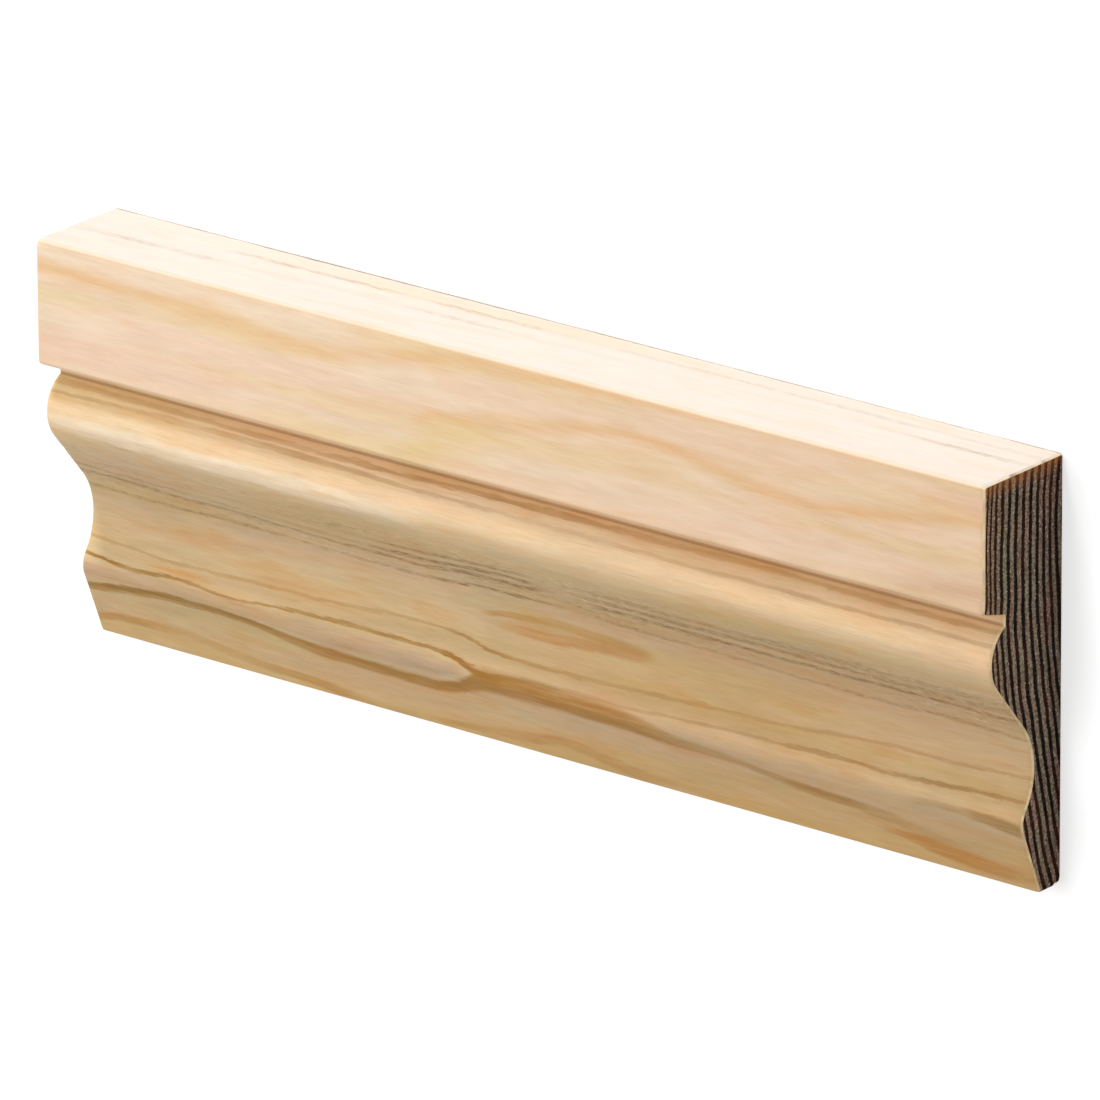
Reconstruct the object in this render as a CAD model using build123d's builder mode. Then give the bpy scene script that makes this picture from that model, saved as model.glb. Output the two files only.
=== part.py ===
from build123d import *
import math
import os

# A short length of softwood ogee architrave: the moulded trim that runs round a door or window.
# It lies on its back with the moulded face up: X along the grain, Y from the thin edge to the
# thick edge, Z from the back to the face. The origin is the middle of the back face.

# Overall sizes of the piece, in millimetres
length = 185.0
width = 69.0
thickness = 19.5

# Thin edge, and the slope that climbs from it to the nose (slopes are in degrees from the back)
thin_edge = 5.2
nose_slope = 22.0

# Nose: the small round above that slope. Its thickness is measured from the back.
nose_radius = 4.0
nose_thickness = 9.8

# Cove: the hollow of the ogee, and the wood left under its lowest line
cove_radius = 11.0
cove_thickness = 7.1

# Ogee slope between the cove and the bead, and the bead's crest, a little under the flat face
ogee_slope = 40.0
bead_radius = 6.5
bead_drop = 1.7

# Quirk: the groove that parts the bead from the flat. Its floor is level, and its far wall leans
# open by the draft that the cutter needs.
quirk_depth = 5.1
quirk_floor = 1.5
quirk_draft = 15.0

# Planed arrises along the length, and the rubbed edges of the two sawn ends
arris_radius = 0.6
end_ease = 0.3


def drop_over_arc(radius, slope):
    """Height lost on an arc that leaves level and ends at the slope."""
    return radius * (1 - math.cos(math.radians(slope)))


def angle_for_drop(drop, radius):
    """Slope, in degrees, at which an arc that leaves level has lost that height."""
    return math.degrees(math.acos(1 - drop / radius))


# The section follows from those sizes. Each straight run is what its two arcs leave of the height
# between them, and the nose and cove arcs meet with no straight between.
thin_side = -width / 2
thick_side = width / 2
nose_climb = nose_thickness - thin_edge - drop_over_arc(nose_radius, nose_slope)
nose_run = nose_climb / math.sin(math.radians(nose_slope))
cove_slope = angle_for_drop(nose_thickness - cove_thickness, nose_radius + cove_radius)
bead_crest = thickness - bead_drop
ogee_climb = bead_crest - cove_thickness - drop_over_arc(cove_radius + bead_radius, ogee_slope)
ogee_run = ogee_climb / math.sin(math.radians(ogee_slope))
bead_slope = angle_for_drop(quirk_depth - bead_drop, bead_radius)
quirk_lean = quirk_depth * math.tan(math.radians(quirk_draft))

with BuildPart() as architrave:
    with BuildSketch(Plane.YZ) as section:
        with BuildLine() as outline:
            back = Line((thick_side, 0), (thin_side, 0))
            thin = Line(back @ 1, (thin_side, thin_edge))
            climb = PolarLine(thin @ 1, nose_run, nose_slope)
            nose = JernArc(climb @ 1, climb % 1, nose_radius, -(nose_slope + cove_slope))
            cove = JernArc(nose @ 1, nose % 1, cove_radius, cove_slope + ogee_slope)
            ogee = PolarLine(cove @ 1, ogee_run, ogee_slope)
            bead = JernArc(ogee @ 1, ogee % 1, bead_radius, -(ogee_slope + bead_slope))
            floor = PolarLine(bead @ 1, quirk_floor, 0)
            wall = Line(floor @ 1, floor @ 1 + (quirk_lean, quirk_depth))
            face = Line(wall @ 1, (thick_side, thickness))
            thick = Line(face @ 1, back @ 0)
        make_face()
        arrises = [back @ 0, back @ 1, thin @ 1, wall @ 1, face @ 1]
        corners = [section.vertices().sort_by_distance(arris)[0] for arris in arrises]
        fillet(corners, arris_radius)
    extrude(amount=length / 2, both=True)
    sawn_ends = architrave.faces().filter_by(Axis.X)
    chamfer(sawn_ends.edges(), end_ease)

architrave.part.label = "architrave"
os.makedirs("parts", exist_ok=True)
export_step(architrave.part, "parts/architrave.step")
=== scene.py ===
import math

import bmesh
import bpy
from mathutils import Matrix, Vector, kdtree


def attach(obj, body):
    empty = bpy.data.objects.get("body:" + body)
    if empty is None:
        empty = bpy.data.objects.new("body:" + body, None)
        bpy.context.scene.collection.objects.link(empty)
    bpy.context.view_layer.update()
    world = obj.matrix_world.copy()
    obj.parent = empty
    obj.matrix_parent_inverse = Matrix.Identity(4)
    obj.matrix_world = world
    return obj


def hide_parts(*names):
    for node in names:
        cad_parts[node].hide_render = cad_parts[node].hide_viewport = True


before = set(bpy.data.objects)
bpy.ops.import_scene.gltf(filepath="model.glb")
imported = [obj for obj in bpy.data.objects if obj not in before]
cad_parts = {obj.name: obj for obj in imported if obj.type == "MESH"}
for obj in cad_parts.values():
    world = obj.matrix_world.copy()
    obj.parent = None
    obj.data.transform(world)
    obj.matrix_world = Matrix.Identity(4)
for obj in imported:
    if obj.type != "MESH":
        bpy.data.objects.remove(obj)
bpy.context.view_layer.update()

# A short length of softwood ogee architrave, lying on its back with the moulding up.
# X runs along the grain, Y from the thin edge to the thick edge, Z from the back to the face.
# The dictionaries hold millimetres and degrees, and mm turns a length into metres.
mm = 0.001

board = {
    "length": 185.0,
    "width": 69.0,
    "thickness": 19.5,
    "thinEdge": 5.2,
    "noseSlope": 22.0,
    "noseRadius": 4.0,
    "noseTop": 9.8,
    "coveRadius": 11.0,
    "coveFloor": 7.1,
    "ogeeSlope": 40.0,
    "beadRadius": 6.5,
    "beadDrop": 1.7,
    "quirkDepth": 5.1,
    "quirkFloor": 1.5,
    "quirkDraft": 15.0,
    "arris": 0.6,
    "endEase": 0.3,
    "faceStep": 0.45,     # distance between points round the moulded face
    "backStep": 0.9,      # and across the back
    "endStep": 0.45,      # grid on the two sawn ends
    "rowCuts": 15,        # the length is cut into 16 parts, and each of those into 16 again
}


def clearSelection():
    if bpy.context.object and bpy.context.object.mode != "OBJECT":
        bpy.ops.object.mode_set(mode="OBJECT")
    bpy.ops.object.select_all(action="DESELECT")


def drawRun(pen, length, step):
    # a straight run of the section, drawn as a chain of short edges
    count = max(1, math.ceil(length / step))
    stride = length / count * mm
    move = (0.0, stride * math.cos(pen["heading"]), stride * math.sin(pen["heading"]))
    for _ in range(count):
        bpy.ops.mesh.extrude_vertices_move(TRANSFORM_OT_translate={"value": move})
    pen["place"] += Vector(move) * count


def drawTurn(pen, radius, turn, step):
    # an arc that leaves along the heading; a positive turn is to the left, seen from the right end
    count = max(4, math.ceil(radius * abs(turn) / step))
    side = math.copysign(1.0, turn)
    out = Vector((0.0, -math.sin(pen["heading"]), math.cos(pen["heading"]))) * side
    centre = pen["place"] + out * radius * mm
    bpy.ops.mesh.spin(steps=count, angle=-turn, center=centre, axis=(1.0, 0.0, 0.0))
    pen["place"] = centre + Matrix.Rotation(turn, 3, "X") @ (pen["place"] - centre)
    pen["heading"] += turn


def drawSection(sizes):
    # one vertex is pulled and spun round the whole section, starting on the thin edge
    arris = sizes["arris"]
    fine = sizes["faceStep"]
    coarse = sizes["backStep"]
    noseSlope = math.radians(sizes["noseSlope"])
    ogeeSlope = math.radians(sizes["ogeeSlope"])
    hollow = sizes["noseTop"] - sizes["coveFloor"]
    coveSlope = math.acos(1 - hollow / (sizes["noseRadius"] + sizes["coveRadius"]))
    noseClimb = (sizes["noseTop"] - sizes["thinEdge"]
                 - sizes["noseRadius"] * (1 - math.cos(noseSlope)))
    ogeeClimb = (sizes["thickness"] - sizes["beadDrop"] - sizes["coveFloor"]
                 - (sizes["coveRadius"] + sizes["beadRadius"]) * (1 - math.cos(ogeeSlope)))
    beadFall = math.acos(1 - (sizes["quirkDepth"] - sizes["beadDrop"]) / sizes["beadRadius"])
    draft = math.radians(sizes["quirkDraft"])
    wallRun = sizes["quirkDepth"] / math.cos(draft)
    square = math.radians(90)

    def trim(turn):
        return arris * math.tan(turn / 2)

    pen = {
        "place": Vector((0.0, -sizes["width"] / 2, arris)) * mm,
        "heading": square,
    }
    pen["place"].x = (sizes["endEase"] - sizes["length"] / 2) * mm
    bpy.ops.mesh.primitive_plane_add(size=mm)
    piece = bpy.context.object
    bpy.ops.object.mode_set(mode="EDIT")
    bpy.ops.mesh.merge(type="CENTER")
    bpy.ops.transform.translate(value=pen["place"])

    drawRun(pen, sizes["thinEdge"] - arris - trim(square - noseSlope), fine)
    drawTurn(pen, arris, noseSlope - square, fine)
    drawRun(pen, noseClimb / math.sin(noseSlope) - trim(square - noseSlope), fine)
    drawTurn(pen, sizes["noseRadius"], -noseSlope - coveSlope, fine)
    drawTurn(pen, sizes["coveRadius"], coveSlope + ogeeSlope, fine)
    drawRun(pen, ogeeClimb / math.sin(ogeeSlope), fine)
    drawTurn(pen, sizes["beadRadius"], -ogeeSlope - beadFall, fine)
    pen["heading"] = 0.0
    drawRun(pen, sizes["quirkFloor"], fine)
    pen["heading"] = square - draft
    drawRun(pen, wallRun - trim(square - draft), fine)
    drawTurn(pen, arris, draft - square, fine)
    drawRun(pen, sizes["width"] / 2 - pen["place"].y / mm - arris, fine)
    drawTurn(pen, arris, -square, fine)
    drawRun(pen, sizes["thickness"] - 2 * arris, fine)
    drawTurn(pen, arris, -square, fine)
    drawRun(pen, sizes["width"] - 2 * arris, coarse)
    drawTurn(pen, arris, -square, fine)
    bpy.ops.mesh.select_all(action="SELECT")
    bpy.ops.mesh.remove_doubles(threshold=0.01 * mm)
    bpy.ops.mesh.edge_face_add()
    return piece


def pickFaces(piece, wanted):
    # selects the faces of a mesh in edit mode that pass the test
    bpy.ops.mesh.select_all(action="DESELECT")
    mesh = bmesh.from_edit_mesh(piece.data)
    for face in mesh.faces:
        face.select_set(wanted(face))
    bmesh.update_edit_mesh(piece.data)


def pickEdges(piece, wanted):
    bpy.ops.mesh.select_mode(type="EDGE")
    bpy.ops.mesh.select_all(action="DESELECT")
    mesh = bmesh.from_edit_mesh(piece.data)
    for edge in mesh.edges:
        edge.select_set(wanted(edge))
    bmesh.update_edit_mesh(piece.data)


def planeBoard(sizes):
    # section, length, eased ends, a grid on the two ends and rows along the length
    clearSelection()
    piece = drawSection(sizes)
    piece.name = "architrave_board"
    ease = sizes["endEase"] * mm
    half = sizes["length"] / 2 * mm
    bpy.ops.mesh.select_mode(type="FACE")
    bpy.ops.mesh.select_all(action="SELECT")
    bpy.ops.mesh.extrude_region_move(TRANSFORM_OT_translate={"value": (2 * (half - ease), 0, 0)})
    bpy.ops.mesh.select_all(action="SELECT")
    bpy.ops.mesh.normals_make_consistent(inside=False)
    pickFaces(piece, lambda face: abs(face.normal.x) > 0.9)
    bpy.ops.mesh.inset(thickness=ease, depth=ease, use_even_offset=True)

    def onEnd(face):
        return abs(face.calc_center_median().x) > half - 0.1 * ease

    step = sizes["endStep"]
    for axis, low, high in ((1, -sizes["width"] / 2, sizes["width"] / 2), (2, 0, sizes["thickness"])):
        count = math.ceil((high - low) / step)
        for cut in range(1, count):
            plane = Vector((0.0, 0.0, 0.0))
            plane[axis] = (low + (high - low) * cut / count) * mm
            facing = Vector((0.0, 0.0, 0.0))
            facing[axis] = 1.0
            pickFaces(piece, onEnd)
            bpy.ops.mesh.bisect(plane_co=plane, plane_no=facing)
    pickFaces(piece, onEnd)
    bpy.ops.mesh.remove_doubles(threshold=0.08 * mm)
    for shortest in (half, 4.5 * mm):
        pickEdges(piece, lambda edge: abs(edge.verts[0].co.x - edge.verts[1].co.x) > shortest)
        bpy.ops.mesh.subdivide(number_cuts=sizes["rowCuts"])
    bpy.ops.mesh.select_mode(type="VERT")
    bpy.ops.object.mode_set(mode="OBJECT")
    return piece


wear = {
    "rimReach": 3.0,       # how far the distance to the edge of a sawn end is stored
    "sawDepth": 0.12,      # marks the saw left on the ends
    "ragDepth": 0.1,       # fibres lost along the edges of the ends
    "planerDepth": 0.03,   # unevenness of the planed faces
    # small knocks: where in X, Y and Z, which way the wood was pushed, and how far it reaches
    "knocks": [
        ((92.5, 34.5, 12.2), (-0.45, -0.25, 0.0), 1.0),
        ((92.5, 34.5, 4.6), (-0.2, -0.15, 0.0), 0.8),
        ((92.5, -34.5, 0.8), (-0.25, 0.2, 0.1), 1.2),
        ((92.5, 14.0, 19.3), (-0.2, 0.0, -0.1), 0.9),
        ((-92.5, 34.4, 19.4), (0.2, -0.15, -0.15), 1.2),
        ((-38.0, 34.4, 19.4), (0.0, -0.08, -0.06), 1.6),
        ((41.0, 13.0, 19.4), (0.0, 0.07, -0.08), 1.4),
    ],
}


def markEnds(piece, sizes):
    # distance from the outline for the points of the sawn ends, and groups for the modifiers
    half = sizes["length"] / 2 * mm
    ease = sizes["endEase"] * mm
    mesh = piece.data
    outline = [v for v in mesh.vertices if abs(abs(v.co.x) - (half - ease)) < 0.01 * mm]
    tree = kdtree.KDTree(len(outline))
    for spot, vertex in enumerate(outline):
        tree.insert((0.0, vertex.co.y, vertex.co.z), spot)
    tree.balance()
    sawnFace = piece.vertex_groups.new(name="sawnFace")
    sawnEdge = piece.vertex_groups.new(name="sawnEdge")
    planed = piece.vertex_groups.new(name="planed")
    reach = [0.0] * len(mesh.vertices)
    for vertex in mesh.vertices:
        inward = half - abs(vertex.co.x)
        if inward < 0.01 * mm:
            away = tree.find((0.0, vertex.co.y, vertex.co.z))[2] / mm
            reach[vertex.index] = min(away, wear["rimReach"])
            sawnFace.add([vertex.index], min(1.0, max(0.0, away - 0.3)), "REPLACE")
        elif inward < 1.2 * ease:
            sawnEdge.add([vertex.index], 1.0, "REPLACE")
        elif inward > 3 * mm:
            planed.add([vertex.index], min(1.0, (inward / mm - 3) / 5), "REPLACE")
    fromRim = mesh.attributes.new("fromRim", "FLOAT", "POINT")
    fromRim.data.foreach_set("value", reach)
    for face in mesh.polygons:
        face.material_index = 1 if half - abs(face.center.x) < 0.01 * mm else 0


def roughen(piece, name, kind, scale, depth, group, **extras):
    # a Displace modifier that only cuts inwards, so the piece stays within its sizes
    pattern = bpy.data.textures.new(name, kind)
    pattern.noise_scale = scale * mm
    for key, value in extras.items():
        setattr(pattern, key, value)
    displace = piece.modifiers.new(name, "DISPLACE")
    displace.texture = pattern
    displace.texture_coords = "LOCAL"
    displace.direction = "NORMAL"
    displace.mid_level = 1.0
    displace.strength = depth * mm
    displace.vertex_group = group
    bpy.ops.object.modifier_apply(modifier=name)


def knockArrises(piece):
    # the nearest point is pushed in and the points round it follow
    bpy.ops.object.mode_set(mode="EDIT")
    for spot, push, reach in wear["knocks"]:
        bpy.ops.mesh.select_all(action="DESELECT")
        mesh = bmesh.from_edit_mesh(piece.data)
        nearest = min(mesh.verts, key=lambda point: (point.co - Vector(spot) * mm).length)
        nearest.select_set(True)
        bmesh.update_edit_mesh(piece.data)
        bpy.ops.transform.translate(value=Vector(push) * mm, use_proportional_edit=True,
                                    proportional_edit_falloff="SMOOTH",
                                    proportional_size=reach * mm)
    bpy.ops.object.mode_set(mode="OBJECT")


def paint(red, green, blue):
    # a colour as a screen shows it, 0 to 255, turned into the linear colour of a socket
    linear = []
    for value in (red, green, blue):
        value /= 255
        linear.append(value / 12.92 if value <= 0.04045 else ((value + 0.055) / 1.055) ** 2.4)
    return (*linear, 1.0)


def connect(tree, source, target):
    # a target takes a socket as a wire and anything else as its own value
    if isinstance(source, bpy.types.NodeSocket):
        tree.links.new(source, target)
    else:
        target.default_value = source


def sums(tree, operation, first, second=None, clamp=False):
    node = tree.nodes.new("ShaderNodeMath")
    node.operation = operation
    node.use_clamp = clamp
    connect(tree, first, node.inputs[0])
    if second is not None:
        connect(tree, second, node.inputs[1])
    return node.outputs[0]


def blend(tree, amount, first, second, mode="MIX"):
    node = tree.nodes.new("ShaderNodeMix")
    node.data_type = "RGBA"
    node.blend_type = mode
    connect(tree, amount, node.inputs[0])
    connect(tree, first, node.inputs[6])
    connect(tree, second, node.inputs[7])
    return node.outputs[2]


def between(tree, amount, first, second):
    node = tree.nodes.new("ShaderNodeMix")
    connect(tree, amount, node.inputs[0])
    connect(tree, first, node.inputs[2])
    connect(tree, second, node.inputs[3])
    return node.outputs[0]


def fade(tree, value, low, high, start=0.0, end=1.0):
    node = tree.nodes.new("ShaderNodeMapRange")
    node.interpolation_type = "SMOOTHSTEP"
    connect(tree, value, node.inputs[0])
    for place, number in enumerate((low, high, start, end)):
        node.inputs[place + 1].default_value = number
    return node.outputs[0]


def stretch(tree, place, factors):
    node = tree.nodes.new("ShaderNodeVectorMath")
    node.operation = "MULTIPLY"
    connect(tree, place, node.inputs[0])
    node.inputs[1].default_value = factors
    return node.outputs[0]


def noise(tree, place, size, detail=2.0, roughness=0.5, distortion=0.0):
    # size is the millimetres of one wave along X, Y and Z
    node = tree.nodes.new("ShaderNodeTexNoise")
    connect(tree, stretch(tree, place, [1 / value for value in size]), node.inputs["Vector"])
    node.inputs["Scale"].default_value = 1.0
    node.inputs["Detail"].default_value = detail
    node.inputs["Roughness"].default_value = roughness
    node.inputs["Distortion"].default_value = distortion
    return node.outputs["Fac"]


def fadeLinear(tree, value, span):
    node = tree.nodes.new("ShaderNodeMapRange")
    connect(tree, value, node.inputs[0])
    node.inputs[1].default_value = span[0]
    node.inputs[2].default_value = span[1]
    return node.outputs[0]


def drawnCurve(tree, value, points, across, up):
    # a curve drawn through a few given points; across and up are its low and high ends
    if len({y for x, y in points}) == 1:   # level all along, so a plain number does
        return float(points[0][1])
    node = tree.nodes.new("ShaderNodeFloatCurve")
    connect(tree, fadeLinear(tree, value, across), node.inputs["Value"])
    line = node.mapping.curves[0]
    spots = [((x - across[0]) / (across[1] - across[0]), (y - up[0]) / (up[1] - up[0]))
             for x, y in points]
    line.points[0].location = spots[0]
    line.points[1].location = spots[-1]
    for spot in spots[1:-1]:
        line.points.new(*spot)
    for point in line.points:
        point.handle_type = "AUTO_CLAMPED"
    node.mapping.update()
    rise = sums(tree, "MULTIPLY", node.outputs[0], up[1] - up[0])
    return sums(tree, "ADD", rise, up[0])


def ramp(tree, value, stops):
    node = tree.nodes.new("ShaderNodeValToRGB")
    connect(tree, value, node.inputs[0])
    colours = node.color_ramp.elements
    colours[0].position, colours[0].color = stops[0]
    colours[1].position, colours[1].color = stops[-1]
    for place, colour in stops[1:-1]:
        colours.new(place).color = colour
    return node.outputs[0]


grain = {
    "pithAcross": 22.0,     # the heart of the tree, in Y and Z
    "pithBelow": -160.0,
    # rings counted from the back to the face by their distance from the back: they stand
    # closer together towards the bark
    "ringCount": [(-1, -0.6), (7, 4.1), (14.5, 8.5), (16.5, 9.8), (18, 11.1), (20.5, 13.7)],
    # dark wood within one ring, from its inner side to the next ring
    "lateWood": [(0, 0.45), (0.04, 0.12), (0.1, 0.0), (0.55, 0.05), (0.75, 0.4), (0.9, 1.0),
                 (0.965, 0.95), (1.0, 0.45)],
    # the same on a sawn end, where the dark wood looks almost black
    "sawnRing": [(0, 1.0), (0.03, 0.6), (0.06, 0.05), (0.1, 0.0), (0.48, 0.0), (0.55, 0.5),
                 (0.6, 1.0), (1.0, 1.0)],
    "grooveFoot": (11.2, 14.5),   # where the bead meets the floor of the quirk, in Y and Z
    "flatFrom": (42.0, 48.0),     # the finish of the moulding turns into that of the flat band
    "raysRound": 620.0,           # rays on a sawn end: how close together round the heart
    "raysOutward": 1.1,           # and how short along them
}
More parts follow.
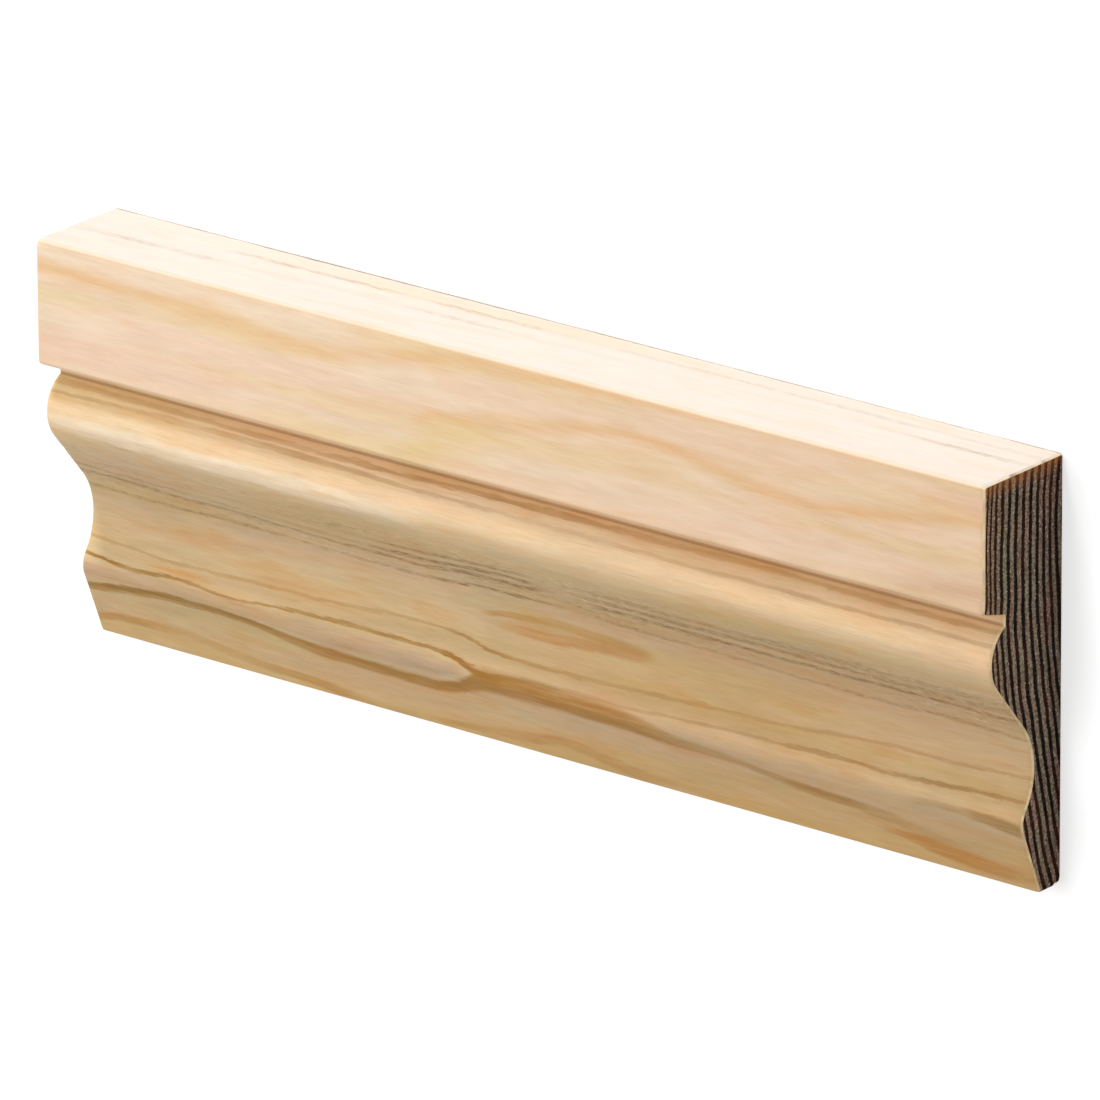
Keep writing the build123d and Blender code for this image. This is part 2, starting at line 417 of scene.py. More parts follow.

# The grain lines of the moulded face, drawn as listed. In every pair the first number is the
# distance from the left end. "line" gives the height above the thin edge, "wide" half the
# width of the line and "strong" how dark it is. "broken" lines are rows of short dashes and
# "soft" ones have no clear edge.
figure = [
    {"colour": "rose",
     "line": [(0, 12.2), (12, 12.2), (35, 12.2), (50, 11.8), (70, 11.7), (77, 11.9), (185, 12.0)],
     "wide": [(0, 1.6), (40, 1.8), (55, 2.4), (70, 2.3), (76, 1.3), (185, 1.0)],
     "strong": [(0, 0.75), (5, 0.75), (18, 0.6), (34, 0.5), (50, 0.65), (72, 0.65), (76, 0.5),
                (79, 0.0), (110, 0.0), (126, 0.3), (145, 0.3), (165, 0.2), (185, 0.0)]},
    {"colour": "tan", "soft": True,
     "line": [(0, 12.2), (185, 12.2)],
     "wide": [(0, 2.0), (185, 2.0)],
     "strong": [(0, 0.0), (12, 0.1), (25, 0.3), (38, 0.22), (50, 0.0), (185, 0.0)]},
    {"colour": "brown",
     "line": [(0, 8.7), (10, 9.8), (16, 10.4), (27, 10.6), (35, 10.1), (41, 9.2), (50, 8.4),
              (60, 8.2), (70, 8.2), (75, 8.9), (78, 10.1), (81, 11.5), (90, 11.7), (100, 11.5),
              (110, 11.2), (118, 10.1), (125, 9.7), (132, 9.1), (140, 8.1), (150, 7.6),
              (156, 7.1), (165, 5.8), (175, 4.2), (185, 2.8)],
     "wide": [(0, 0.8), (12, 0.8), (30, 0.8), (40, 1.0), (52, 1.5), (72, 1.5), (78, 1.9),
              (82, 2.7), (96, 2.6), (110, 2.3), (120, 1.6), (135, 1.0), (150, 1.2), (165, 1.3),
              (185, 1.6)],
     "strong": [(0, 0.85), (12, 0.95), (33, 0.9), (45, 0.9), (60, 1.0), (72, 0.95), (80, 1.0),
                (95, 0.95), (110, 0.85), (120, 0.4), (130, 0.3), (138, 0.4), (148, 0.75),
                (156, 0.4), (165, 0.3), (185, 0.2)]},
    {"colour": "olive",
     "line": [(0, 9.0), (10, 10.2), (16, 10.8), (27, 10.9), (35, 10.4), (41, 9.7), (50, 9.0),
              (60, 8.7), (70, 8.6), (75, 9.3), (80, 11.0), (84, 11.0), (100, 10.2), (112, 9.9),
              (125, 9.9), (140, 8.4), (155, 7.4), (185, 5.0)],
     "wide": [(0, 0.6), (30, 0.55), (60, 0.5), (80, 0.8), (112, 0.9), (125, 1.1), (150, 0.8),
              (185, 0.8)],
     "strong": [(0, 0.75), (12, 0.85), (34, 0.7), (45, 0.3), (60, 0.2), (74, 0.45), (80, 0.4),
                (90, 0.2), (108, 0.3), (118, 0.3), (128, 0.25), (136, 0.3), (150, 0.15),
                (160, 0.0), (185, 0.0)]},
    {"colour": "honey",
     "line": [(0, 14.5), (5, 14.0), (10, 13.6), (20, 14.0), (30, 13.6), (40, 14.1), (50, 14.3),
              (68, 14.4), (73, 14.2), (76, 13.7), (79, 12.9), (82, 12.5), (88, 13.3),
              (95, 13.5), (110, 13.7), (125, 14.2), (140, 14.5), (150, 14.7), (160, 14.6),
              (170, 15.0), (185, 15.5)],
     "wide": [(0, 0.38), (30, 0.36), (68, 0.36), (76, 0.6), (82, 0.8), (95, 0.45), (140, 0.36),
              (185, 0.34)],
     "strong": [(0, 1.0), (8, 0.95), (30, 0.75), (50, 0.8), (68, 0.85), (76, 1.0), (82, 0.9),
                (90, 0.35), (105, 0.3), (130, 0.4), (145, 0.65), (160, 0.65), (185, 0.6)]},
    {"colour": "brown",
     "line": [(0, 16.9), (10, 16.5), (15, 16.1), (30, 16.3), (50, 16.7), (66, 17.3),
              (71, 17.3), (76, 16.9), (79, 16.4), (82, 15.9), (90, 15.7), (100, 15.8),
              (110, 16.1), (120, 16.5), (130, 16.7), (140, 17.0), (146, 17.6), (152, 18.0),
              (160, 18.2), (170, 18.3), (180, 18.7), (185, 19.1)],
     "wide": [(0, 0.36), (70, 0.34), (80, 0.35), (90, 0.45), (140, 0.42), (185, 0.4)],
     "strong": [(0, 0.4), (15, 0.35), (40, 0.4), (60, 0.35), (72, 0.5), (80, 0.85), (87, 0.5),
                (100, 0.4), (130, 0.42), (150, 0.4), (170, 0.42), (180, 0.5), (185, 0.5)]},
    {"colour": "orange", "soft": True,
     "line": [(0, 14.6), (14, 14.8), (24, 14.9), (185, 15.0)],
     "wide": [(0, 0.7), (185, 0.7)],
     "strong": [(0, 0.0), (11, 0.0), (16, 0.7), (20, 0.6), (26, 0.1), (30, 0.0), (185, 0.0)]},
    {"colour": "olive",
     "line": [(0, 11.0), (160, 11.4), (170, 11.9), (178, 11.7), (185, 11.1)],
     "wide": [(0, 0.8), (160, 0.8), (172, 0.9), (185, 1.7)],
     "strong": [(0, 0.0), (159, 0.0), (166, 0.3), (174, 0.4), (181, 0.65), (185, 0.6)]},
    {"colour": "ochre",
     "line": [(0, 2.7), (5, 3.8), (12, 4.0), (18, 4.3), (27, 3.0), (36, 2.2), (43, 2.0),
              (50, 1.3), (68, 0.9), (74, 1.3), (80, 2.0), (88, 2.7), (95, 3.6), (103, 2.2),
              (112, 1.0), (185, 1.0)],
     "wide": [(0, 0.9), (20, 1.2), (44, 1.1), (66, 0.8), (90, 1.3), (110, 1.5), (185, 1.2)],
     "strong": [(0, 0.85), (6, 0.85), (14, 0.6), (25, 0.45), (38, 0.75), (45, 0.9), (53, 0.5),
                (64, 0.2), (74, 0.7), (80, 0.5), (91, 0.8), (98, 0.65), (108, 0.65),
                (118, 0.1), (185, 0.0)]},
    {"colour": "ruddy",
     "line": [(0, 5.5), (150, 5.6), (160, 4.4), (168, 3.4), (176, 2.6), (185, 1.9)],
     "wide": [(0, 1.0), (150, 1.0), (160, 1.3), (169, 2.1), (178, 1.8), (185, 1.1)],
     "strong": [(0, 0.0), (148, 0.0), (158, 0.5), (168, 0.95), (176, 0.95), (182, 0.45),
                (185, 0.35)]},
    {"colour": "ochre", "soft": True,
     "line": [(0, 21.4), (80, 21.2), (95, 21.6), (110, 21.5), (185, 21.5)],
     "wide": [(0, 1.4), (80, 1.4), (95, 2.2), (112, 1.9), (185, 1.4)],
     "strong": [(0, 0.0), (78, 0.0), (86, 0.4), (104, 0.5), (112, 0.3), (116, 0.0), (185, 0.0)]},
    {"colour": "ochre",
     "line": [(0, 21.7), (78, 21.6), (85, 22.4), (95, 22.9), (104, 22.5), (112, 21.9),
              (185, 21.9)],
     "wide": [(0, 0.6), (78, 0.6), (86, 0.8), (100, 1.0), (112, 1.0), (185, 1.0)],
     "strong": [(0, 0.0), (75, 0.0), (80, 0.5), (86, 0.85), (95, 0.6), (106, 0.6), (111, 0.4),
                (114, 0.0), (185, 0.0)]},
    {"colour": "rust",
     "line": [(0, 21.3), (40, 21.5), (78, 20.4), (85, 20.1), (95, 20.4), (103, 21.1),
              (112, 21.2), (185, 21.0)],
     "wide": [(0, 1.3), (40, 1.3), (78, 0.8), (94, 1.2), (112, 1.3), (185, 1.0)],
     "strong": [(0, 0.0), (10, 0.2), (30, 0.2), (40, 0.0), (77, 0.0), (83, 0.5), (93, 0.85),
                (105, 0.75), (110, 0.6), (114, 0.0), (185, 0.0)]},
    {"colour": "slate", "broken": True,
     "line": [(0, 28.5), (10, 28.6), (20, 28.2), (30, 28.4), (42, 28.0), (52, 27.8),
              (62, 27.8), (68, 27.6), (75, 28.4), (80, 29.0), (90, 29.2), (96, 29.8),
              (104, 29.3), (115, 29.1), (150, 29.0), (165, 29.2), (185, 29.3)],
     "wide": [(0, 0.5), (60, 0.5), (78, 0.65), (100, 0.6), (185, 0.6)],
     "strong": [(0, 0.55), (10, 0.7), (30, 0.5), (48, 0.6), (60, 0.65), (72, 0.8), (84, 0.85),
                (93, 0.8), (97, 0.05), (102, 0.05), (106, 0.75), (120, 0.8), (140, 0.7),
                (160, 0.8), (185, 0.7)]},
    {"colour": "slate", "broken": True,
     "line": [(0, 30.0), (20, 29.7), (60, 29.2), (70, 29.3), (80, 30.3), (90, 30.8),
              (105, 30.8), (185, 30.9)],
     "wide": [(0, 0.5), (90, 0.6), (185, 0.8)],
     "strong": [(0, 0.35), (55, 0.25), (66, 0.85), (90, 0.8), (97, 0.0), (103, 0.5),
                (115, 0.65), (185, 0.45)]},
    {"colour": "slate", "broken": True,
     "line": [(0, 31.5), (66, 30.9), (80, 31.8), (95, 32.4), (185, 32.3)],
     "wide": [(0, 0.4), (90, 0.6), (185, 0.9)],
     "strong": [(0, 0.1), (55, 0.1), (68, 0.6), (90, 0.55), (97, 0.0), (108, 0.4),
                (132, 0.45), (185, 0.3)]},
    {"colour": "slate", "broken": True,
     "line": [(0, 25.6), (15, 25.4), (30, 25.8), (50, 25.4), (60, 25.3), (70, 25.4),
              (76, 25.8), (80, 26.3), (90, 26.6), (98, 26.8), (110, 26.1), (130, 25.9),
              (160, 25.4), (172, 25.8), (185, 25.4)],
     "wide": [(0, 0.5), (80, 0.45), (185, 0.5)],
     "strong": [(0, 0.4), (10, 0.5), (25, 0.5), (45, 0.4), (60, 0.45), (72, 0.6),
                (80, 0.8), (92, 0.6), (98, 0.1), (110, 0.5), (130, 0.4), (185, 0.5)]},
    # painted highlight: the lit side of the bead, made lighter in the colour
    {"colour": "beadHighlight",
     "line": [(0, 38.8), (40, 38.7), (70, 38.9), (90, 39.4), (185, 38.9)],
     "wide": [(0, 1.9), (60, 2.0), (85, 1.6), (185, 1.7)],
     "strong": [(0, 0.75), (20, 0.9), (60, 0.9), (74, 0.6), (84, 0.1), (115, 0.1), (138, 0.2),
                (185, 0.15)]},
    # two fine lines in the hollow beside the bead
    {"colour": "brown",
     "line": [(0, 44.8), (60, 44.6), (120, 44.9), (185, 44.7)],
     "wide": [(0, 0.4), (185, 0.42)],
     "strong": [(0, 0.3), (40, 0.4), (90, 0.6), (130, 0.35), (185, 0.5)]},
    {"colour": "brown",
     "line": [(0, 43.4), (40, 43.6), (80, 43.2), (140, 42.9), (185, 43.0)],
     "wide": [(0, 0.35), (50, 0.5), (90, 0.35), (185, 0.4)],
     "strong": [(0, 0.4), (30, 0.3), (52, 0.5), (75, 0.4), (100, 0.2), (150, 0.3), (185, 0.35)]},
    {"colour": "amber", "soft": True,
     "line": [(0, 64.8), (20, 64.2), (35, 63.9), (50, 62.6), (60, 63.2), (70, 64.8),
              (80, 66.8), (90, 67.6), (105, 68.0), (130, 68.4), (185, 68.6)],
     "wide": [(0, 2.4), (50, 2.6), (80, 2.2), (100, 1.6), (185, 1.0)],
     "strong": [(0, 0.85), (20, 0.8), (50, 0.75), (75, 0.6), (92, 0.65), (120, 0.5),
                (150, 0.3), (185, 0.15)]},
    {"colour": "amber", "soft": True,
     "line": [(0, 54.0), (72, 54.5), (76, 56.0), (80, 57.0), (85, 57.6), (90, 58.6),
              (100, 60.0), (105, 60.8), (112, 62.0), (118, 62.5), (124, 62.1), (130, 61.2),
              (138, 59.9), (145, 59.1), (152, 58.8), (160, 59.6), (168, 60.8), (176, 62.2),
              (185, 63.4)],
     "wide": [(0, 1.9), (80, 2.0), (95, 2.4), (118, 1.9), (150, 2.3), (185, 2.2)],
     "strong": [(0, 0.0), (71, 0.0), (79, 0.8), (95, 0.9), (110, 0.85), (125, 0.75),
                (150, 0.8), (185, 0.75)]},
    {"colour": "blossom", "soft": True,
     "line": [(0, 52.0), (20, 53.0), (160, 64.0), (185, 65.5)],
     "wide": [(0, 4.5), (40, 4.5), (165, 2.5), (185, 4.0)],
     "strong": [(0, 0.4), (30, 0.3), (60, 0.1), (160, 0.1), (172, 0.3), (180, 0.6), (185, 0.6)]},
    {"colour": "straw", "soft": True,
     "line": [(0, 46.0), (68, 46.0), (76, 51.0), (82, 54.0), (90, 55.5), (185, 60.0)],
     "wide": [(0, 5.0), (185, 5.0)],
     "strong": [(0, 0.0), (66, 0.0), (75, 0.8), (84, 0.8), (94, 0.2), (120, 0.0),
                (185, 0.0)]},
    {"colour": "tan", "soft": True,
     "line": [(0, 46.0), (155, 46.0), (165, 48.0), (175, 50.5), (185, 52.5)],
     "wide": [(0, 4.0), (185, 4.2)],
     "strong": [(0, 0.0), (152, 0.0), (165, 0.2), (178, 0.3), (185, 0.3)]},
]


# The same for the thick edge, where "line" gives the height above the back.
edgeFigure = [
    {"colour": "straw", "soft": True,
     "line": [(0, 2.6), (60, 3.4), (120, 2.6), (185, 3.0)],
     "wide": [(0, 3.0), (60, 3.6), (185, 3.0)],
     "strong": [(0, 0.0), (30, 0.1), (70, 0.3), (105, 0.25), (125, 0.1), (185, 0.1)]},
    {"colour": "slate", "broken": True,
     "line": [(0, 5.6), (30, 5.2), (60, 4.8), (90, 4.5), (185, 4.2)],
     "wide": [(0, 0.8), (185, 0.7)],
     "strong": [(0, 0.0), (24, 0.0), (32, 0.35), (58, 0.35), (64, 0.1), (72, 0.35), (86, 0.3),
                (92, 0.1), (120, 0.2), (185, 0.15)]},
    {"colour": "slate", "broken": True,
     "line": [(0, 11.0), (12, 10.6), (25, 10.2), (60, 9.0), (185, 8.0)],
     "wide": [(0, 1.0), (185, 0.7)],
     "strong": [(0, 0.1), (8, 0.2), (11, 0.35), (17, 0.3), (19, 0.15), (25, 0.35), (30, 0.1),
                (60, 0.1), (75, 0.25), (95, 0.05), (160, 0.1), (172, 0.4), (180, 0.3),
                (185, 0.1)]},
    # painted shade and dirt: a dark line along the back arris of the thick edge, where its rounding
    # turns away from the light
    {"colour": "slate",
     "line": [(0, 0.2), (185, 0.2)],
     "wide": [(0, 0.7), (60, 0.8), (120, 0.7), (185, 0.6)],
     "strong": [(0, 0.7), (60, 0.8), (120, 0.7), (185, 0.5)]},
]


def growthRings(tree, place):
    # the count of growth rings at each point, from the back of the board outwards
    split = tree.nodes.new("ShaderNodeSeparateXYZ")
    connect(tree, place, split.inputs[0])
    along, across, height = split.outputs
    broad = sums(tree, "SUBTRACT", noise(tree, place, (75, 17, 17), 1.0), 0.5)
    slow = sums(tree, "SUBTRACT", noise(tree, place, (38, 7, 7), 1.0), 0.5)
    quick = sums(tree, "SUBTRACT", noise(tree, place, (14, 1.6, 1.6), 2.0), 0.5)
    sway = sums(tree, "ADD", sums(tree, "MULTIPLY", broad, 1.6), sums(tree, "MULTIPLY", slow, 0.7))
    sway = sums(tree, "ADD", sway, sums(tree, "MULTIPLY", quick, 0.2))
    sideways = sums(tree, "SUBTRACT", across, grain["pithAcross"])
    upwards = sums(tree, "SUBTRACT", height, grain["pithBelow"])
    radius = sums(tree, "SQRT", sums(tree, "ADD", sums(tree, "POWER", sideways, 2.0),
                                     sums(tree, "POWER", upwards, 2.0)))
    fromBack = sums(tree, "ADD", sums(tree, "ADD", radius, grain["pithBelow"]), sway)
    count = drawnCurve(tree, fromBack, grain["ringCount"], (-1, 20.5), (-0.6, 13.7))
    angle = sums(tree, "ARCTAN2", sideways, upwards)
    return {"along": along, "across": across, "height": height, "count": count,
            "fromBack": fromBack, "angle": angle}


pineColours = {
    "pale": paint(240, 214, 186),
    "pink": paint(238, 207, 176),
    "straw": paint(230, 204, 152),
    "orange": paint(222, 166, 98),
    "ochre": paint(198, 152, 84),
    "rust": paint(203, 154, 94),
    "rose": paint(195, 164, 134),
    "olive": paint(150, 114, 40),
    "honey": paint(164, 120, 46),
    "amber": paint(231, 191, 142),
    "beadHighlight": paint(254, 233, 202),
    "brown": paint(178, 130, 60),
    "tan": paint(184, 134, 72),
    "ruddy": paint(202, 147, 72),
    "blossom": paint(234, 192, 164),
    "slate": paint(138, 104, 54),
    "resin": paint(128, 86, 46),
    "edgePale": paint(231, 223, 215),
    "endLine": paint(4, 1, 0),
    "endBrown": paint(56, 28, 12),
    "endWood": paint(186, 170, 142),
    "endRose": paint(188, 154, 134),
    "endRed": paint(52, 16, 8),
    "endWarm": paint(196, 162, 132),
    "paleRimHighlight": paint(246, 222, 172),
    "endOrange": paint(212, 136, 76),
}

# colour of the plain wood of the moulded face, by height above the thin edge; the band over the bead
# is made lighter as a painted highlight of its lit side
woodWithBeadHighlight = [
    (0.0, paint(225, 189, 134)),
    (10.0, paint(214, 187, 148)),
    (17.0, paint(219, 190, 142)),
    (24.0, paint(218, 192, 154)),
    (32.0, paint(219, 194, 154)),
    (37.0, paint(232, 206, 164)),
    (41.0, paint(240, 211, 170)),
    (46.0, paint(248, 218, 178)),
    (51.0, paint(238, 214, 188)),
    (69.0, paint(240, 217, 188)),
]


def drawFigure(tree, place, rings, colour, marks, upward, mask):
    # lays the lines of one list over the plain wood where the mask is 1, and tells how dark
    # the wood is where they lie
    fromLeft = sums(tree, "ADD", rings["along"], board["length"] / 2)
    slow = sums(tree, "SUBTRACT", noise(tree, place, (26, 3, 3), 1.0), 0.5)
    quick = sums(tree, "SUBTRACT", noise(tree, place, (7, 0.9, 0.9), 3.0, 0.6), 0.5)
    ragged = sums(tree, "SUBTRACT", noise(tree, place, (2.4, 0.25, 0.25), 2.0, 0.65), 0.5)
    shift = sums(tree, "ADD", sums(tree, "MULTIPLY", slow, 0.7), sums(tree, "MULTIPLY", quick, 0.8))
    shift = sums(tree, "ADD", shift, sums(tree, "MULTIPLY", ragged, 0.55))
    upward = sums(tree, "ADD", upward, shift)
    patchy = fade(tree, noise(tree, place, (11, 0.8, 0.8), 3.0, 0.6), 0.28, 0.62, 0.72, 1.08)
    dashes = fade(tree, noise(tree, place, (1.9, 0.22, 0.22), 2.0, 0.6), 0.4, 0.6, 0.2, 1.0)
    span = (0.0, board["length"])
    darkest = 0.0
    for mark in marks:
        centre = drawnCurve(tree, fromLeft, mark["line"], span, (0, 70))
        wide = drawnCurve(tree, fromLeft, mark["wide"], span, (0, 5))
        strong = drawnCurve(tree, fromLeft, mark["strong"], span, (0, 1))
        away = sums(tree, "ABSOLUTE", sums(tree, "SUBTRACT", upward, centre))
        firm = 0.0 if "soft" in mark else 0.45
        amount = fade(tree, sums(tree, "DIVIDE", away, wide), firm, 1.0, 1.0, 0.0)
        amount = sums(tree, "MULTIPLY", amount, sums(tree, "MULTIPLY", strong, mask))
        amount = sums(tree, "MULTIPLY", amount, dashes if "broken" in mark else patchy, clamp=True)
        colour = blend(tree, amount, colour, pineColours[mark["colour"]])
        if mark["colour"] not in ("beadHighlight", "slate"):   # the painted highlight and torn wood aren't late wood
            darkest = sums(tree, "MAXIMUM", amount, darkest)
    return colour, darkest


def planedPine(tree, place, rings):
    # colour, roughness and height of the planed faces
    tone = pineColours
    onThick = fade(tree, rings["across"], 33.7, 34.25)
    onFace = sums(tree, "MULTIPLY", fade(tree, rings["height"], 4.3, 5.3),
                  sums(tree, "SUBTRACT", 1.0, onThick))
    # edges and back
    blush = fade(tree, noise(tree, place, (48, 7, 9), 2.0), 0.42, 0.62)
    sides = blend(tree, blush, tone["pale"], tone["pink"])
    sides = blend(tree, sums(tree, "MULTIPLY", onThick, 0.8), sides, tone["edgePale"])
    late = drawnCurve(tree, sums(tree, "FRACT", rings["count"]), grain["lateWood"], (0, 1), (0, 1))
    late = sums(tree, "MULTIPLY", late, sums(tree, "SUBTRACT", 0.6,
                sums(tree, "MULTIPLY", onThick, 0.58)))
    late = sums(tree, "MULTIPLY", late, fade(tree, noise(tree, place, (13, 1.1, 1.1), 3.0, 0.6),
                                             0.3, 0.7, 0.45, 1.15), clamp=True)
    sides = blend(tree, late, sides, tone["orange"])
    sides = drawFigure(tree, place, rings, sides, edgeFigure, rings["height"], onThick)[0]
    # moulded face
    fromThin = sums(tree, "ADD", rings["across"], board["width"] / 2)
    # the moulded face starts from the wood colour by height, which holds the painted highlight over
    # the bead
    front = ramp(tree, fadeLinear(tree, fromThin, (0, board["width"])),
                 [(height / board["width"], shade) for height, shade in woodWithBeadHighlight])
    front = blend(tree, sums(tree, "MULTIPLY", blush, 0.5), front,
                  blend(tree, 1.0, front, paint(252, 243, 246), "MULTIPLY"))
    cast = fade(tree, noise(tree, place, (60, 5, 7), 2.0), 0.45, 0.68)
    front = blend(tree, cast, front, blend(tree, 1.0, front, paint(250, 250, 232), "MULTIPLY"))
    front, drawn = drawFigure(tree, place, rings, front, figure, fromThin, onFace)
    colour = blend(tree, onFace, sides, front)
    late = sums(tree, "MAXIMUM", drawn, sums(tree, "MULTIPLY", late,
                                             sums(tree, "SUBTRACT", 1.0, onFace)))
    # painted shade: the right of the board is made a little darker in the colour, in place of the
    # light falling off along the length
    paintedFalloff = sums(tree, "MULTIPLY", fade(tree, rings["along"], -80.0, 90.0),
                 sums(tree, "SUBTRACT", 1.0, onThick))
    colour = blend(tree, paintedFalloff, colour, blend(tree, 1.0, colour, paint(245, 240, 234), "MULTIPLY"))
    # painted shade: the recess at the foot of the bead is darkened in the colour, with a warm tan
    # band round it and a thin dark line at the foot
    grooveY, grooveZ = grain["grooveFoot"]
    besideFoot = sums(tree, "POWER", sums(tree, "SUBTRACT", rings["across"], grooveY), 2.0)
    aboveFoot = sums(tree, "POWER", sums(tree, "SUBTRACT", rings["height"], grooveZ), 2.0)
    fromFoot = sums(tree, "SQRT", sums(tree, "ADD", besideFoot, aboveFoot))
    footShadeWarm = fade(tree, fromFoot, 0.4, 3.4, 0.27, 0.0)
    colour = blend(tree, footShadeWarm, colour, tone["tan"])
    footShadeLine = fade(tree, fromFoot, 0.1, 0.38, 0.6, 0.0)
    colour = blend(tree, footShadeLine, colour, tone["resin"])
    # fibres: short fine streaks along the grain
    fibre = noise(tree, place, (5, 0.2, 0.2), 3.0, 0.65)
    streaky = sums(tree, "SUBTRACT", fade(tree, fromThin, *grain["flatFrom"], 0.22, 0.12),
                   sums(tree, "MULTIPLY", onThick, 0.09))
    colour = blend(tree, sums(tree, "MULTIPLY", fade(tree, fibre, 0.3, 0.7), streaky), colour,
                   blend(tree, 1.0, colour, paint(214, 198, 178), "MULTIPLY"))
    mottle = noise(tree, place, (11, 1.5, 1.5), 3.0, 0.65)
    patches = sums(tree, "SUBTRACT", 0.3, sums(tree, "MULTIPLY", onThick, 0.18))
    colour = blend(tree, sums(tree, "MULTIPLY", fade(tree, mottle, 0.35, 0.65), patches), colour,
                   blend(tree, 1.0, colour, paint(238, 222, 204), "MULTIPLY"))
    # warm and cool clouds a few millimetres across
    clouds = noise(tree, place, (16, 3.2, 3.2), 3.0, 0.6)
    cloudy = fade(tree, fromThin, *grain["flatFrom"], 0.6, 0.3)
    colour = blend(tree, sums(tree, "MULTIPLY", fade(tree, clouds, 0.5, 0.68), cloudy), colour,
                   blend(tree, 1.0, colour, paint(255, 238, 218), "MULTIPLY"))
    colour = blend(tree, sums(tree, "MULTIPLY", fade(tree, clouds, 0.5, 0.34), cloudy), colour,
                   blend(tree, 1.0, colour, paint(243, 248, 250), "MULTIPLY"))
    # grain torn by the cutter on the slope under the bead: short nicks along the fibres
    onSlope = sums(tree, "MULTIPLY", fade(tree, fromThin, 24.0, 28.0),
                   fade(tree, fromThin, 37.0, 32.0))
    onSlope = sums(tree, "MULTIPLY", onSlope, onFace)
    onSlope = sums(tree, "MULTIPLY", onSlope, fade(tree, noise(tree, place, (16, 2.5, 2.5), 1.0),
                                                   0.38, 0.6))
    tears = noise(tree, place, (1.8, 0.26, 0.26), 2.0, 0.6)
    torn = sums(tree, "MULTIPLY", fade(tree, tears, 0.54, 0.68), onSlope)
    # painted highlight: pale flecks beside the nicks, where lifted fibres would catch the light
    paintedFibreGlints = sums(tree, "MULTIPLY", fade(tree, tears, 0.44, 0.32), onSlope)
    colour = blend(tree, sums(tree, "MULTIPLY", torn, 0.42), colour, tone["slate"])
    colour = blend(tree, sums(tree, "MULTIPLY", paintedFibreGlints, 0.45), colour, tone["pale"])
    # resin canals: thin brown dashes
    canal = fade(tree, noise(tree, place, (7, 0.22, 0.22), 0.0), 0.785, 0.84)
    canal = sums(tree, "MULTIPLY", canal, fade(tree, fromThin, *grain["flatFrom"], 1.0, 0.4))
    colour = blend(tree, sums(tree, "MULTIPLY", canal, 0.22), colour, tone["resin"])
    # handling has dulled the arris between the flat band and the thick edge
    worn = sums(tree, "MULTIPLY", fade(tree, rings["across"], 33.6, 34.0),
                fade(tree, rings["height"], 18.7, 19.1))
    colour = blend(tree, sums(tree, "MULTIPLY", worn, 0.7), colour,
                   blend(tree, 1.0, colour, paint(240, 230, 210), "MULTIPLY"))
    # the eased edges of the two ends are painted pale: clean pale wood and a painted highlight along
    # the edges
    onEase = fade(tree, sums(tree, "ABSOLUTE", rings["along"]), board["length"] / 2 - 0.4,
                  board["length"] / 2 - 0.24, 0.0, 0.7)
    onEase = sums(tree, "MULTIPLY", onEase, fade(tree, noise(tree, place, (3, 1.6, 1.6), 2.0),
                                                 0.35, 0.6, 0.35, 1.0))
    colour = blend(tree, onEase, colour, tone["paleRimHighlight"])
    height = sums(tree, "SUBTRACT", sums(tree, "MULTIPLY", fibre, 0.4),
                  sums(tree, "MULTIPLY", canal, 0.6))
    height = sums(tree, "SUBTRACT", height, torn)
    gloss = fade(tree, late, 0.0, 1.0, 0.62, 0.5)
    gloss = sums(tree, "ADD", gloss, fade(tree, fibre, 0.3, 0.7, -0.05, 0.06))
    return {"colour": colour, "height": height, "roughness": gloss}


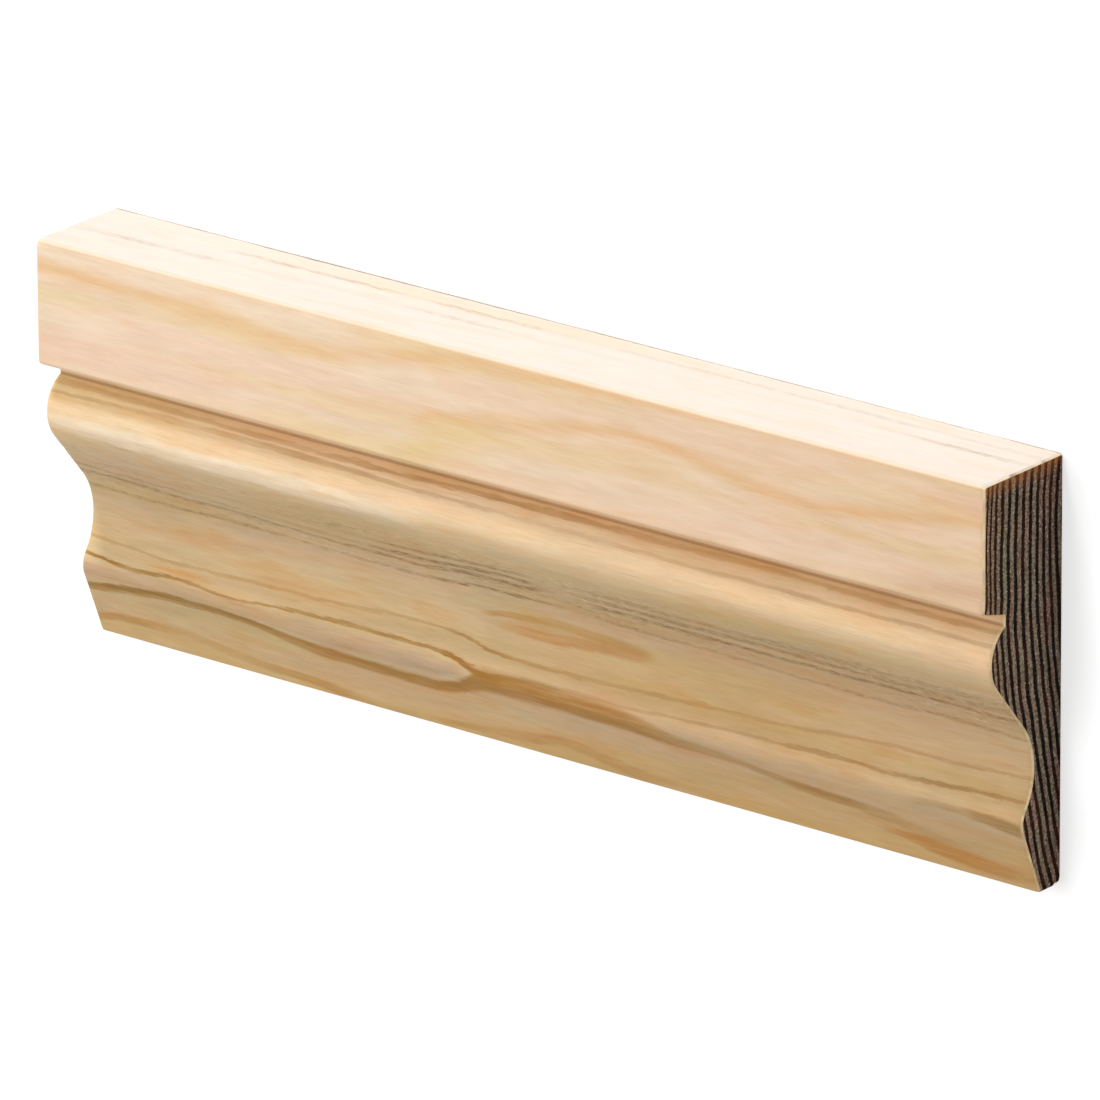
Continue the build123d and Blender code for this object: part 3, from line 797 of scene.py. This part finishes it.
def sawnPine(tree, place, rings):
    # colour, roughness and height of the two sawn ends
    tone = pineColours
    speckle = noise(tree, place, (0.5, 0.28, 0.18), 2.0, 0.7)
    ragged = sums(tree, "MULTIPLY", sums(tree, "SUBTRACT", speckle, 0.5), 0.5)
    inRing = sums(tree, "FRACT", sums(tree, "ADD", rings["count"], ragged))
    line = drawnCurve(tree, inRing, grain["sawnRing"], (0, 1), (0, 1))
    nearFace = fade(tree, rings["fromBack"], 13.5, 17.5)
    uneven = noise(tree, place, (9, 4, 0.5), 1.0)
    line = sums(tree, "MULTIPLY", line, fade(tree, uneven, 0.3, 0.6, 1.0, 0.96))
    wood = blend(tree, fade(tree, noise(tree, place, (9, 9, 1.6), 2.0), 0.42, 0.6),
                 tone["endWood"], tone["endRose"])
    wood = blend(tree, nearFace, wood, tone["endWarm"])
    wood = blend(tree, fade(tree, rings["across"], -28.0, -34.0, 0.0, 0.8), wood,
                 tone["endWarm"])
    wood = blend(tree, fade(tree, rings["height"], 9.0, 0.0, 0.0, 0.75), wood,
                 blend(tree, 1.0, wood, paint(206, 198, 200), "MULTIPLY"))
    wood = blend(tree, fade(tree, uneven, 0.42, 0.62, 0.0, 0.7), wood,
                 blend(tree, 1.0, wood, paint(206, 200, 194), "MULTIPLY"))
    radial = tree.nodes.new("ShaderNodeCombineXYZ")
    connect(tree, sums(tree, "MULTIPLY", rings["angle"], grain["raysRound"]), radial.inputs[0])
    connect(tree, sums(tree, "MULTIPLY", rings["fromBack"], grain["raysOutward"]), radial.inputs[1])
    rays = fade(tree, noise(tree, radial.outputs[0], (1, 1, 1), 2.0, 0.6), 0.52, 0.7)
    wood = blend(tree, sums(tree, "MULTIPLY", rays, 0.6), wood, paint(240, 222, 206))
    crumb = noise(tree, place, (0.5, 0.5, 0.42), 2.0, 0.7)
    wood = blend(tree, fade(tree, crumb, 0.42, 0.6, 0.0, 0.75), wood,
                 blend(tree, 1.0, wood, paint(164, 152, 140), "MULTIPLY"))
    reddish = fade(tree, noise(tree, place, (12, 9, 3), 1.0), 0.46, 0.6)
    dark = blend(tree, reddish, tone["endLine"], tone["endRed"])
    dark = blend(tree, nearFace, dark, tone["endBrown"])
    colour = blend(tree, line, wood, dark)
    fleck = fade(tree, noise(tree, place, (0.6, 0.5, 0.4), 1.0), 0.6, 0.72)
    fleck = sums(tree, "MULTIPLY", fleck, fade(tree, line, 0.0, 1.0, 0.85, 0.05))
    colour = blend(tree, fleck, colour, paint(232, 212, 196))
    fringe = sums(tree, "MULTIPLY", noise(tree, place, (1, 1.5, 0.5), 2.0), 4.0)
    topEdge = sums(tree, "MULTIPLY", fade(tree, sums(tree, "ADD", rings["across"], fringe),
                                          33.4, 36.4),
                   fade(tree, line, 0.0, 1.0, 0.8, 0.32))
    colour = blend(tree, topEdge, colour, tone["endOrange"])
    # the first fibres under the planed face are painted pale, least so along the back: pale fibres
    # and a painted highlight along the rim
    fromRim = tree.nodes.new("ShaderNodeAttribute")
    fromRim.attribute_name = "fromRim"
    crumbs = fade(tree, noise(tree, place, (2, 0.7, 0.7), 2.0), 0.3, 0.7, -0.1, 0.2)
    fromEdge = sums(tree, "ADD", fromRim.outputs["Fac"], crumbs)
    onFace = fade(tree, rings["height"], 0.3, 3.5)
    rim = sums(tree, "MULTIPLY", fade(tree, fromEdge, 0.04, 0.22, 0.8, 0.0), onFace)
    colour = blend(tree, rim, colour, tone["paleRimHighlight"])
    height = sums(tree, "ADD", sums(tree, "MULTIPLY", line, 0.5),
                  sums(tree, "MULTIPLY", speckle, 0.8))
    return {"colour": colour, "height": height, "roughness": 0.85}


def makePine(name, finish, specular, bumpStrength):
    # finish is the function that paints the surface
    material = bpy.data.materials.new(name)
    material.use_nodes = True
    tree = material.node_tree
    shader = tree.nodes["Principled BSDF"]
    where = tree.nodes.new("ShaderNodeTexCoord")
    place = stretch(tree, where.outputs["Object"], (1 / mm, 1 / mm, 1 / mm))
    surface = finish(tree, place, growthRings(tree, place))
    connect(tree, surface["colour"], shader.inputs["Base Color"])
    connect(tree, surface["roughness"], shader.inputs["Roughness"])
    bump = tree.nodes.new("ShaderNodeBump")
    bump.inputs["Strength"].default_value = bumpStrength
    bump.inputs["Distance"].default_value = 0.05 * mm
    connect(tree, surface["height"], bump.inputs["Height"])
    connect(tree, bump.outputs[0], shader.inputs["Normal"])
    shader.inputs["Specular IOR Level"].default_value = specular
    return material


clearSelection()
architrave = planeBoard(board)
print("board planed:", len(architrave.data.polygons), "faces")
markEnds(architrave, board)
roughen(architrave, "sawMarks", "CLOUDS", 0.9, wear["sawDepth"], "sawnFace", noise_depth=3)
roughen(architrave, "brokenFibres", "CLOUDS", 2.2, wear["ragDepth"], "sawnEdge", noise_depth=2)
roughen(architrave, "planerMarks", "CLOUDS", 9.0, wear["planerDepth"], "planed", noise_depth=1)
knockArrises(architrave)
bpy.ops.object.shade_smooth_by_angle(angle=math.radians(35))
architrave.data.materials.append(makePine("planed_pine", planedPine, 0.3, 0.5))
architrave.data.materials.append(makePine("sawn_pine", sawnPine, 0.05, 0.6))
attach(architrave, "root")
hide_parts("architrave")
print("board finished")

studio = {
    "floorSize": 4.0,
    "floorShade": 0.55,      # what the floor gives back to the piece
    "floorLift": 0.6,        # added for the camera alone, so that the lit floor is white
    "worldLevel": 0.33,
    "keyFrom": (-0.15, 0.94, 0.27),
    "keyDistance": 1.5,
    "keySize": 0.32,
    "keyPower": 15.3,
    "fillFrom": (-0.2, 0.2, 0.95),
    "fillDistance": 1.6,
    "fillSize": 1.2,
    "fillPower": 16.5,
}


def seenDirectly(tree):
    # 1 for what the camera sees, straight on or in a reflection, and 0 for light that bounces
    rays = tree.nodes.new("ShaderNodeLightPath")
    seen = sums(tree, "MAXIMUM", rays.outputs["Is Camera Ray"], rays.outputs["Is Glossy Ray"])
    return sums(tree, "MAXIMUM", seen, rays.outputs["Is Transmission Ray"])


def layFloor():
    clearSelection()
    bpy.ops.mesh.primitive_plane_add(size=studio["floorSize"])
    floor = bpy.context.object
    floor.name = "studio_floor"
    material = bpy.data.materials.new("pale_floor")
    material.use_nodes = True
    tree = material.node_tree
    tree.nodes.clear()
    shade = studio["floorShade"]
    matt = tree.nodes.new("ShaderNodeBsdfDiffuse")
    matt.inputs["Color"].default_value = (shade, shade, shade, 1.0)
    lift = tree.nodes.new("ShaderNodeEmission")
    connect(tree, sums(tree, "MULTIPLY", seenDirectly(tree), studio["floorLift"]),
            lift.inputs["Strength"])
    both = tree.nodes.new("ShaderNodeAddShader")
    connect(tree, matt.outputs[0], both.inputs[0])
    connect(tree, lift.outputs[0], both.inputs[1])
    out = tree.nodes.new("ShaderNodeOutputMaterial")
    connect(tree, both.outputs[0], out.inputs["Surface"])
    floor.data.materials.append(material)


def hangLamp(name, comesFrom, distance, size, power):
    lamp = bpy.data.lights.new(name, "AREA")
    lamp.shape = "SQUARE"
    lamp.size = size
    lamp.energy = power
    holder = bpy.data.objects.new(name, lamp)
    bpy.context.scene.collection.objects.link(holder)
    away = Vector(comesFrom).normalized()
    holder.location = away * distance
    holder.rotation_euler = away.to_track_quat("Z", "Y").to_euler()


def paintBackdrop():
    world = bpy.data.worlds.new("studio_world")
    bpy.context.scene.world = world
    world.use_nodes = True
    tree = world.node_tree
    back = tree.nodes["Background"]
    back.inputs["Color"].default_value = (1.0, 1.0, 1.0, 1.0)
    connect(tree, fade(tree, seenDirectly(tree), 0.0, 1.0, studio["worldLevel"], 1.0),
            back.inputs["Strength"])


photoView = {
    "lookAt": (1.93, 1.44, 9.75),
    "azimuth": 38.89,       # turned from square on, towards the right end
    "elevation": 20.05,     # raised towards the thick edge
    "roll": -0.31,
    "distance": 2328.0,
    "lens": 498.7,
}


def setCamera():
    view = bpy.data.cameras.new("photo_camera")
    view.lens = photoView["lens"]
    view.sensor_width = 36.0
    view.clip_start = 0.05
    view.clip_end = 20.0
    camera = bpy.data.objects.new("photo_camera", view)
    bpy.context.scene.collection.objects.link(camera)
    turn = math.radians(photoView["azimuth"])
    lift = math.radians(photoView["elevation"])
    away = Vector((math.sin(turn) * math.cos(lift), math.sin(lift),
                   math.cos(turn) * math.cos(lift)))
    across = Vector((0.0, 1.0, 0.0)).cross(away).normalized()
    upward = away.cross(across)
    facing = Matrix((across, upward, away)).transposed().to_4x4()
    spot = (Vector(photoView["lookAt"]) + away * photoView["distance"]) * mm
    roll = Matrix.Rotation(math.radians(photoView["roll"]), 4, "Z")
    camera.matrix_world = Matrix.Translation(spot) @ facing @ roll
    bpy.context.scene.camera = camera


layFloor()
hangLamp("key_lamp", studio["keyFrom"], studio["keyDistance"], studio["keySize"],
         studio["keyPower"])
hangLamp("fill_lamp", studio["fillFrom"], studio["fillDistance"], studio["fillSize"],
         studio["fillPower"])
paintBackdrop()
setCamera()
bpy.context.scene.view_settings.view_transform = "Standard"
print("studio set")
